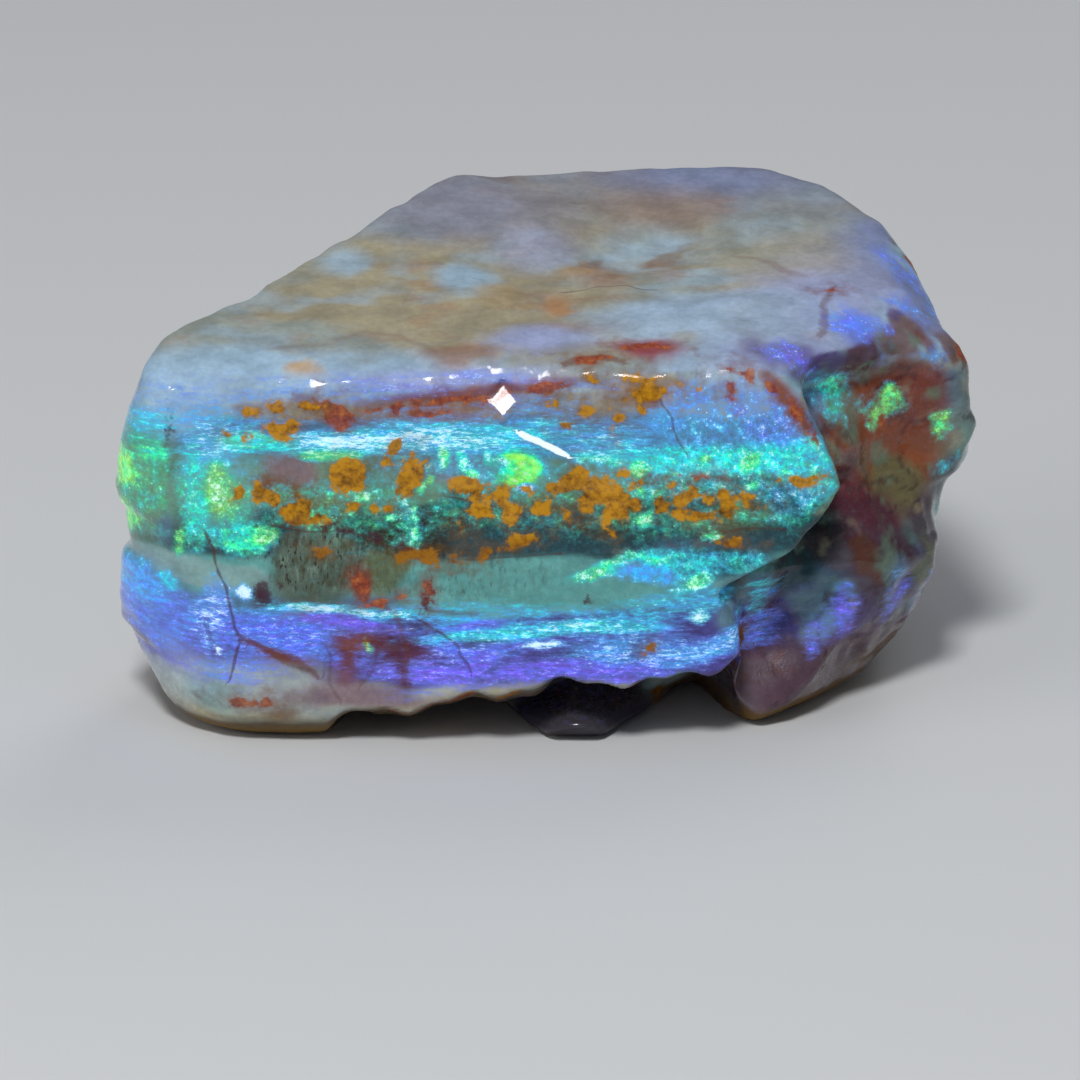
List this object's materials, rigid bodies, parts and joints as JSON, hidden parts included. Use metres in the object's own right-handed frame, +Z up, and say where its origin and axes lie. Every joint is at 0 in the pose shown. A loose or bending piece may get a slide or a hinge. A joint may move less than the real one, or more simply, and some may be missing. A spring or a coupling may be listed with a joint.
{
  "type": "rough opal",
  "caption": "Loose piece of rough opal: a flat-topped block of layered stone with broken sides, an undercut front and a hollow at one end.",
  "frame": {"origin": "on the surface the stone rests on, below the middle of its bounding box", "axes": "+X along the stone's longest side, +Y from the flat broken front towards the back, +Z up with the pale flat skin on top"},
  "size_m": [0.0312, 0.0216, 0.016],
  "materials": {
    "opal": "polished by water, glossy on the broken front and satin on the top skin"
  },
  "bodies": {
    "root": {"rough_opal": "opal"}
  },
  "joints": []
}
